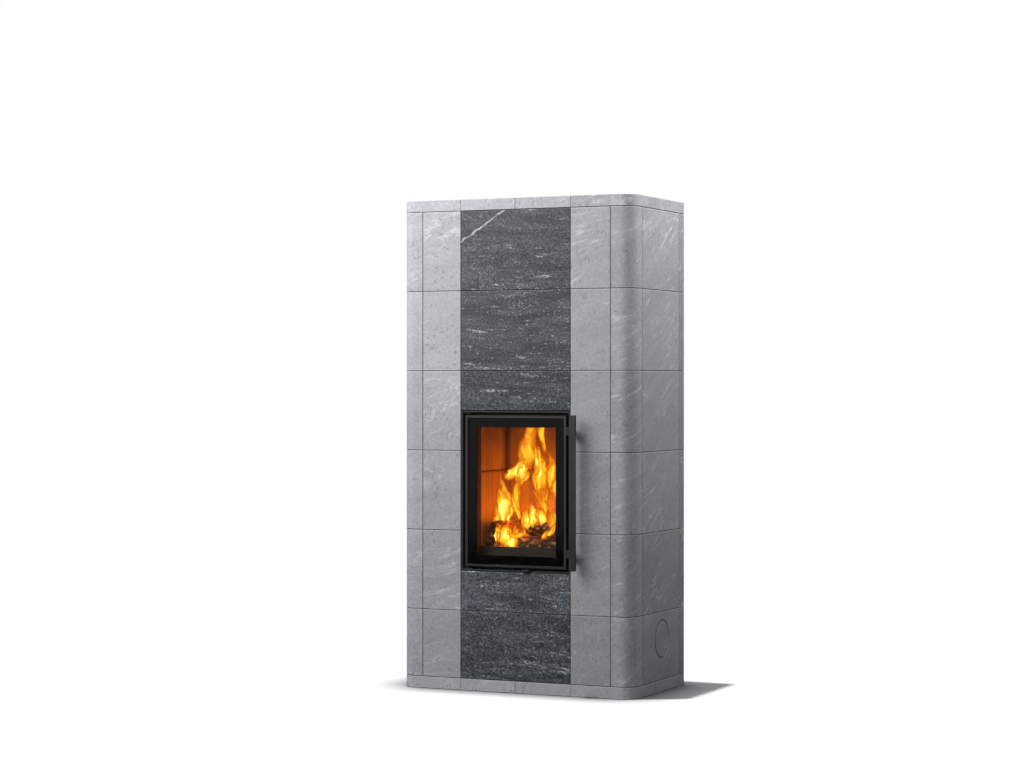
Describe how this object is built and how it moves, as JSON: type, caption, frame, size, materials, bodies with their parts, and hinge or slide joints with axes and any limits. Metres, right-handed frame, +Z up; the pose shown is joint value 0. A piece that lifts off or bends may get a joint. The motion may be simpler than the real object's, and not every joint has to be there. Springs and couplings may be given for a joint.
{
  "type": "soapstone heater",
  "caption": "Tall free-standing soapstone wood heater: coursed stone shell with a dark middle strip, glazed firebox door, bar handle, air lever, soot plugs and rear flue collar.",
  "frame": {"origin": "on the floor at the centre of the stone footprint", "axes": "+X to the right seen from the front, +Y to the back, +Z up"},
  "size_m": [0.887, 0.561, 1.72],
  "materials": {
    "soapstone_light": "matte",
    "soapstone_dark": "matte",
    "core_stone": "matte",
    "black_steel": "satin",
    "cast_iron": "matte",
    "fire_glass": "gloss",
    "rope_seal": "matte",
    "grip_wood": "satin",
    "insulation": "matte",
    "bright_steel": "satin"
  },
  "bodies": {
    "heater_body": {"right_corner_stones": "soapstone_light", "left_corner_stones": "soapstone_light", "right_front_stones": "soapstone_light", "left_front_stones": "soapstone_light", "right_side_stones": "soapstone_light", "left_side_stones": "soapstone_light", "right_rear_stones": "soapstone_light", "left_rear_stones": "soapstone_light", "right_hatch_stone": "soapstone_light", "left_hatch_stone": "soapstone_light", "base_slabs": "soapstone_light", "top_slabs": "soapstone_light", "rear_centre_stones": "soapstone_light", "flue_stone": "soapstone_light", "accent_stone_low": "soapstone_dark", "sill_stone": "soapstone_dark", "lintel_stone": "soapstone_dark", "accent_stone_middle": "soapstone_dark", "accent_stone_high": "soapstone_dark", "core_base_blocks": "core_stone", "ash_pit_stones": "core_stone", "hearth_stone": "core_stone", "right_firebox_wall": "core_stone", "left_firebox_wall": "core_stone", "rear_firebox_wall": "core_stone", "firebox_lintel": "core_stone", "throat_slab": "core_stone", "upper_core_walls": "core_stone", "inner_lid": "core_stone", "door_surround": "black_steel", "hinge_plates": "black_steel", "log_guard": "black_steel", "shutter_guide": "black_steel", "flue_collar": "black_steel", "collar_screws": "bright_steel", "surround_screws": "bright_steel", "hinge_pins": "bright_steel", "latch_spring": "bright_steel", "surround_seal_ring": "rope_seal", "throat_seal": "rope_seal", "insulation_board": "insulation"},
    "door": {"door_frame": "black_steel", "glass_tape": "rope_seal", "glass_pane": "fire_glass", "inner_frame": "cast_iron", "door_rope_seal": "rope_seal", "glass_clips": "bright_steel", "clip_screws": "bright_steel", "latch_tongue": "bright_steel", "handle_bar": "black_steel", "handle_grip": "grip_wood", "handle_arms": "black_steel", "arm_screws": "bright_steel"},
    "air_lever": {"air_shutter": "black_steel", "lever_arm": "black_steel"},
    "plug_right": {"right_soot_plug": "soapstone_light"},
    "plug_left": {"left_soot_plug": "soapstone_light"},
    "grate": {"grate": "cast_iron"},
    "ash_box": {"ash_box": "black_steel"}
  },
  "joints": [
    {"name": "door_swing", "type": "hinge", "parent": "heater_body", "child": "door", "pos_m": [-0.184, -0.222, 0.69975], "axis": [0, 0, -1], "range_deg": [0, 100], "deforming": ["latch_spring"]},
    {"name": "air_lever_slide", "type": "slide", "parent": "heater_body", "child": "air_lever", "axis": [1, 0, 0], "range_m": [-0.04, 0]},
    {"name": "plug_right_pull", "type": "slide", "parent": "heater_body", "child": "plug_right", "axis": [1, 0, 0], "range_m": [0, 0.1]},
    {"name": "plug_left_pull", "type": "slide", "parent": "heater_body", "child": "plug_left", "axis": [-1, 0, 0], "range_m": [0, 0.1]},
    {"name": "grate_lift", "type": "slide", "parent": "heater_body", "child": "grate", "axis": [0, 0, 1], "range_m": [0, 0.12]},
    {"name": "ash_box_lift", "type": "slide", "parent": "heater_body", "child": "ash_box", "axis": [0, 0, 1], "range_m": [0, 0.12]}
  ],
  "couplings": [
    {"joint": "ash_box_lift", "follows": "grate_lift", "ratio": 1}
  ]
}
